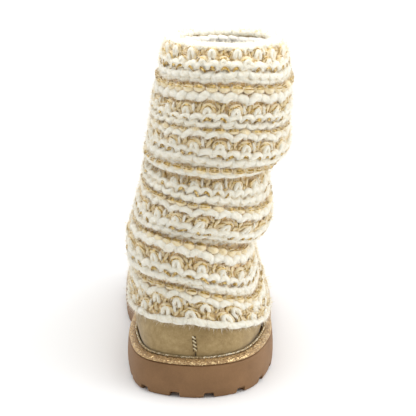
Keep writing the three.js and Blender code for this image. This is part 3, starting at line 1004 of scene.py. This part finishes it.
def add_course(builder, distance, row, sides=YARN_SIDES, stitches=STITCHES, slant=0.3, band=None, uneven=0.1):
    """Adds a course of purl bumps: each stitch bows out in front and thins out behind its neighbours"""
    stitch = np.arange(stitches * STITCH_STEPS) / STITCH_STEPS
    theta = 2 * np.pi * stitch

    def differing(spread):
        return blended(scatter(stitches, spread), stitch)

    place = stitch + FRONT_SPREAD * np.sin(theta) + differing(0.07) + row["phase"]
    angle = stitch_angle(place * STITCHES / stitches)
    drift = sum(height * np.sin(waves * angle + rng.uniform(*DRIFT_STARTS)) for waves, height in DRIFT_WAVES)
    jitter = differing(2 * uneven)
    lean = differing(0.2) + slant
    rise = row["bow"] * (2 * np.abs(np.cos(theta / 2)) - 1) + lean * np.sin(theta) + drift + jitter
    if band is not None:
        rise = rise + row["wave"] * np.cos(np.pi * (place - 2 * dome_phase(band)))
    reach = distance(angle) + rise
    point, normal = knit_at(angle, reach)
    dip = ((1 - np.cos(theta)) / 2) ** DIP_POWER
    size = row["radius"] * (1 + differing(uneven)) * (1 - STITCH_PINCH * dip)
    if band is not None:
        size = size * chart_stretch(band, angle) * surface_stretch(angle, reach)
    stand = row["lift"] - size - row["dip"] * dip + differing(0.25)
    add_tubes(builder, point + normal * stand[:, None], normal, size, sides, closed=True)


def knit_paths(stitch, distance, across, up, depth):
    """Paths laid on the knit round places counted in stitches, in millimetres across, up and out"""
    angle = stitch_angle(stitch[:, None] + across / STITCH_MM)
    shape = angle.shape
    reach = np.broadcast_to(distance(angle) + up, shape)
    point, normal = knit_at(angle.ravel(), reach.ravel())
    depth = np.broadcast_to(depth, shape).ravel()[:, None]
    return (point + normal * depth).reshape(*shape, 3), normal.reshape(*shape, 3)


# Strands of gold on an arch: start and twist of each round the dome, and round the crossed strands
DOME_GOLD = ((-1.1, 0.75), (1.0, -0.6), (0.2, 1.9))
CROSS_GOLD = ((0.5, 3.5), (3.2, 3.5))


def arch_tier(pile, gold, level, offset, height, phase):
    """One tier of arches, each two stitches wide: a marled dome over a cream stitch, and crossed strands"""
    count = STITCHES // 2
    centre = 2 * (np.arange(count) + phase) + scatter(count, 0.14)
    tall = height * (1 + vary(count, 0.12))
    wide = 1 + vary(count, 0.1)
    out = vary(count, 0.25)

    def distance(angle):
        return band_distance(level, angle) + offset

    def add_gold(paths, normals, radius, turn):
        strand, side = strand_on(paths, normals, radius, turn)
        add_tubes(gold, strand, side, ARCH_GOLD_RADIUS, GOLD_SIDES)

    # Dome, whose ends are thinner and sink in
    half, radius, thin, stand, sink, blunt = 2.8, 1.25, 0.25, 0.45, 1.6, 0.75
    t = np.linspace(0, np.pi, 14)
    dome = np.sin(t) ** blunt
    paths, normals = knit_paths(centre, distance, -half * wide * np.cos(t),
                                -tall + (2 * tall - radius) * dome,
                                stand - radius - sink * (1 - dome) + out)
    size = radius * (1 - thin + thin * dome)
    add_tubes(pile["marled"], paths, normals, size, YARN_SIDES)
    for start, twist in DOME_GOLD:
        turn = start + twist * t + vary(count, 0.5)
        hidden = GOLD_DIVE * (1 + np.sin(4 * t + vary(count, np.pi)))
        add_gold(paths, normals, size - hidden, turn)

    # Stitch inside the dome
    half, radius, stand, sink, drop, rise = 1.2, 1.0, 0.7, 1.1, 0.3, 1.3
    paths, normals = knit_paths(centre, distance, -half * wide * np.cos(t),
                                -tall - drop + rise * tall * dome,
                                stand - radius - sink * (1 - dome) ** 2 + out)
    add_tubes(pile["cream"], paths, normals, radius, YARN_SIDES - 1)

    # Two strands that cross between the domes, one behind the other
    half, radius, rise, forward = 2.1, 0.85, 0.95, 0.5
    f = np.linspace(-1, 1, 9)
    bow = 1 - f * f
    for lean, depth in ((-1, -2.0), (1, -1.65)):
        paths, normals = knit_paths(centre + 1, distance, half * f, lean * rise * tall * f,
                                    depth + forward * bow)
        add_tubes(pile["marled"], paths, normals, radius, YARN_SIDES - 2)
        for start, twist in CROSS_GOLD:
            add_gold(paths, normals, radius, start + twist * f + vary(count, 0.6))

    # Short stitch beside some of the domes
    share, beside, sway, up, half, fall = 0.65, 3.5, 0.4, 0.5, 0.3, 1.6
    depth, forward, radius, swell = -0.7, 0.4, 0.3, 0.35
    some = centre[rng.uniform(size=count) < share]
    lean = vary(len(some), 0.5)
    paths, normals = knit_paths(some, distance, beside + sway * lean + half * f, up - fall * f + lean,
                                depth + forward * bow)
    add_tubes(pile["cream"], paths, normals, radius + swell * bow, YARN_SIDES - 2)


# Share of the ovals that have gold and the turns of its strands; share of the stitches that have a gold
# dash and the heights of its strands
OVAL_GOLD = 0.92
OVAL_GOLD_TURNS = (0.3, 0.7, 1.1)
DASH_GOLD = 0.75
DASH_STRANDS = (-0.35, 0.0, 0.35)


def oval_row(pile, gold, band):
    """Row of oval bumps with a bundle of gold strands over the upper half of most"""
    half, ellipse_half, radius, depth, sink = 2.35, 2.5, 1.5, -0.85, 0.9
    stitch = np.arange(STITCHES) + scatter(STITCHES, 0.08)
    f = np.linspace(-1, 1, 9)
    across = half * np.sin(f * np.pi / 2)
    tall = (radius * chart_stretch(band, stitch_angle(stitch)))[:, None] * (1 + vary(STITCHES, 0.12))
    size = tall * np.sqrt(1 - (across / ellipse_half) ** 2)
    up = vary(STITCHES, 0.2) + vary(STITCHES, 0.25) * f
    paths, normals = knit_paths(stitch, lambda a: band_distance(band + OVAL_RISE, a), across, up,
                                depth - sink * f ** 4 + vary(STITCHES, 0.25))
    add_tubes(pile["oval"], paths, normals, size, YARN_SIDES)
    some = rng.uniform(size=STITCHES) < OVAL_GOLD
    middle = slice(2, -2)
    for start in OVAL_GOLD_TURNS:
        turn = start + vary(some.sum(), 0.15) + vary(some.sum(), 0.25) * f
        strand, side = strand_on(paths[some], normals[some], size[some], turn)
        add_tubes(gold, strand[:, middle], side[:, middle], GOLD_RADIUS, GOLD_SIDES)


def dash_row(gold, level):
    """Short bundles of gold strands in the furrow between the two high ridges, along its wave"""
    half, stand, sink = 1.5, 0.5, 0.7
    stitch = np.arange(STITCHES) + scatter(STITCHES, 0.2)
    stitch = stitch[rng.uniform(size=STITCHES) < DASH_GOLD]
    count = len(stitch)
    f = np.linspace(-1, 1, 7)
    across = (half + vary(count, 0.4)) * f
    wave = 2 * np.abs(np.cos(np.pi * (stitch[:, None] + across / STITCH_MM))) - 1
    slant = vary(count, 0.3)
    for rise in DASH_STRANDS:
        up = rise + wave + slant * f + vary(count, 0.15)
        paths, normals = knit_paths(stitch, lambda a: band_distance(level, a), across, up,
                                    stand - sink * f * f)
        add_tubes(gold, paths, normals, GOLD_RADIUS, GOLD_SIDES)


# Loose fibres of each kind of yarn, and shape and scale of their lengths
RIDGE_FIBRES = 98000
STITCH_FIBRES = 16000
ARCH_FIBRES = 36000
OVAL_FIBRES = 18000
EDGE_FIBRES = 16000
FIBRE_LENGTH = (4.0, 0.3)


def knit_fuzz(name, yarn, material, count):
    """Loose fibres that stand off the outer side of the yarn"""
    behind, root_depth, root_spread, outward, sideways = -0.2, 0.1, 0.3, 0.4, 0.8
    root_half, tip_half = 0.075, 0.02
    skin = np.concatenate(yarn.skin)
    skin = skin[np.sum(skin[:, 1] * skin[:, 2], axis=1) > behind]
    start, out, _ = np.moveaxis(skin[rng.integers(0, len(skin), count)], 1, 0)
    aside = unit(rng.normal(size=(count, 3)))
    length = rng.gamma(*FIBRE_LENGTH, count)[:, None]
    start = start - out * root_depth + aside * root_spread
    end = start + (out * outward + aside * sideways) * length
    across = unit(np.cross(out, aside))
    ends = [(start, root_half), (end, tip_half)]
    points = np.stack([place + sign * across * half for place, half in ends for sign in (-1, 1)], 1)
    builder = Builder()
    builder.add(points.reshape(-1, 3), 4 * np.arange(count)[:, None] + np.array([0, 1, 3, 2]))
    builder.piece(name, material, "shaft_knit")


# Bands whose gold is in the lower one of its two pieces
LOW_BANDS = 3


def knit():
    """Courses of the shaft from hem to rim, and the gold strands that run with them"""
    pile = {"cream": Builder(), "marled": Builder(), "oval": Builder()}
    ridges = Builder()
    low_gold, high_gold = Builder(), Builder()
    for band in range(BAND_COUNT):
        gold = low_gold if band < LOW_BANDS else high_gold
        for tier, offset in enumerate(BAND_TIERS.get(band, (0,))):
            arch_tier(pile, gold, band, offset, BAND_ROWS[band, 4], dome_phase(band, tier))
        if band == BAND_COUNT - 1:
            break
        oval_row(pile, gold, band)
        dash_row(gold, band + DASH_RISE)
        for row in COURSES.values():
            add_course(ridges, lambda a, s=band + row["rise"]: band_distance(s, a), row, band=band)
    pile["cream"].piece("knit_stitches", CREAM, "shaft_knit")
    pile["marled"].piece("knit_arches", MARLED, "shaft_knit")
    pile["oval"].piece("knit_ovals", OVAL, "shaft_knit")
    ridges.piece("knit_ridges", CREAM, "shaft_knit")
    low_gold.piece("knit_gold_low", GOLD, "shaft_knit")
    high_gold.piece("knit_gold_high", GOLD, "shaft_knit")
    knit_fuzz("knit_fuzz_ridges", ridges, CREAM_FIBRE, RIDGE_FIBRES)
    knit_fuzz("knit_fuzz_stitches", pile["cream"], CREAM_FIBRE, STITCH_FIBRES)
    knit_fuzz("knit_fuzz_arches", pile["marled"], MARLED_FIBRE, ARCH_FIBRES)
    knit_fuzz("knit_fuzz_ovals", pile["oval"], CREAM_FIBRE, OVAL_FIBRES)


# Rope of the hem: its bumps round the boot, how far up it lies, and its nick at the back
HEM_ROPE = dict(radius=1.45, lift=0.7, bow=-0.9, dip=0.9, phase=0.2)
HEM_BUMPS = 36
HEM_UP = 0.9
HEM_NICK = 4.0
HEM_NICK_ANGLE = 0.09
# Rows of the rolled rim: distance below the edge, which is also the phase, and how far it stands out
RIM_ROPE = dict(radius=1.5, bow=0.5, dip=0.7)
RIM_ROWS = ((1.7, 0.6), (-0.4, 0.3))
# Rows of the knit's inner side, where the first lies, counted in rows, and the share of the shaft's
# length that they cover
LINING_ROPE = dict(radius=1.6, lift=-2.4, bow=0.4, dip=-0.8)
LINING_ROWS = 34
LINING_FIRST = 0.3
LINING_REACH = 0.74
LINING_STITCHES = 30
LINING_SIDES = 4
# Ground of the knit: depths of its two sides under the surface
GROUND_DEPTHS = (1.9, 3.1)


def length_at(angle):
    """Length of the knit from the hem to the rim"""
    place = np.mod(angle / (2 * np.pi), 1) * KNIT_ANGLES
    return np.interp(place, np.arange(KNIT_ANGLES + 1), np.append(KNIT_LENGTH, KNIT_LENGTH[0]))


def knit_edges():
    """Cast-off rope along the hem, with a small nick at the back, the rolled rim and the rows inside"""
    def hem(angle):
        return HEM_UP + HEM_NICK * bell(nearest(angle, 2 * np.pi) / HEM_NICK_ANGLE)

    edges, lining = Builder(), Builder()
    add_course(edges, hem, HEM_ROPE, stitches=HEM_BUMPS, slant=0.5, uneven=0.25)
    for below, lift in RIM_ROWS:
        add_course(edges, lambda a, d=below: length_at(a) - d, dict(RIM_ROPE, lift=lift, phase=below))
    for k in range(LINING_ROWS):
        share = LINING_REACH * (k + LINING_FIRST) / LINING_ROWS
        add_course(lining, lambda a, s=share: (1 - s) * length_at(a), dict(LINING_ROPE, phase=0.5 * (k % 2)),
                   LINING_SIDES, stitches=LINING_STITCHES)
    edges.piece("knit_edges", CREAM, "shaft_knit")
    lining.piece("knit_lining", LINING_PAINTED_LIGHT, "shaft_knit")
    knit_fuzz("knit_fuzz_edges", edges, CREAM_FIBRE, EDGE_FIBRES)


def knit_backing():
    """Ground of the knit behind its loops, with a coarser mesh than its surface; its tan colour is partly the
    gold in the recesses and partly painted shade there
    """
    grid, normals = KNIT_GRID[::5, ::3], KNIT_NORMALS[::5, ::3]
    front, back = (grid - normals * depth for depth in GROUND_DEPTHS)
    builder = Builder()
    add_loops(builder, [*front, *back[::-1]])
    builder.piece("knit_backing", BACKING_GOLD_AND_SHADE, "shaft_knit", "shaft")


# Stage, light and camera

# Floor's size in metres and stops of its greys, and the width of the camera's sensor in millimetres
FLOOR_SIZE = 12
FLOOR_GREYS = [(0.3, (0.95, 0.95, 0.95)), (0.7, (0.97, 0.97, 0.97))]
SENSOR_WIDTH = 36


def looking(way):
    """Rotation of a lamp or camera that looks along a way"""
    return Vector(way).to_track_quat("-Z", "Y").to_euler()


def pale_floor():
    bpy.ops.mesh.primitive_plane_add(size=FLOOR_SIZE)
    floor = bpy.context.object
    floor.name = "floor"
    pale, tree, shader = new_material("pale_floor", Roughness=0.8)
    cloud = noise(tree, object_place(tree), scale=3)
    wire(tree, shader, Base_Color=ramp(tree, cloud, FLOOR_GREYS))
    floor.data.materials.append(pale)


def white_room():
    """White world that glows more behind the boot than in front of it"""
    world = bpy.data.worlds.new("studio")
    world.use_nodes = True
    tree = world.node_tree
    around_boot = add(tree, "ShaderNodeTexCoord").outputs["Generated"]
    way = add(tree, "ShaderNodeSeparateXYZ", {"Vector": around_boot})
    glow = add(tree, "ShaderNodeMapRange", {"Value": way.outputs["Y"], "From Min": -0.9, "From Max": 0.2,
                                            "To Min": ROOM_NEAR, "To Max": ROOM_FAR})
    room = tree.nodes["Background"]
    room.inputs["Color"].default_value = (1, 1, 1, 1)
    wire(tree, room, Strength=glow.outputs["Result"])
    bpy.context.scene.world = world


def lamps():
    key = bpy.data.lights.new("key", "SUN")
    key.energy = KEY_STRENGTH
    key.angle = np.radians(KEY_SOFTNESS)
    put("key", key).rotation_euler = looking(-np.array(KEY_FROM))
    top = bpy.data.lights.new("top", "AREA")
    top.energy = TOP_STRENGTH
    top.size = TOP_SIZE
    put("top", top).location = metres(TOP_PLACE)


def photo_camera():
    lens = bpy.data.cameras.new("camera")
    lens.sensor_width = SENSOR_WIDTH
    lens.lens = SENSOR_WIDTH * FOCAL_PIXELS / FRAME_PIXELS
    lens.clip_start = 0.01
    camera = put("camera", lens)
    camera.location = metres(CAMERA_PLACE)
    camera.rotation_euler = looking(metres(CAMERA_AIM) - metres(CAMERA_PLACE))
    bpy.context.scene.camera = camera
    bpy.context.scene.view_settings.view_transform = "Standard"


pale_floor()
white_room()
lamps()
photo_camera()
outsole()
welt()
piping()
insole()
upper()
back_stitches()
knit_backing()
knit()
knit_edges()
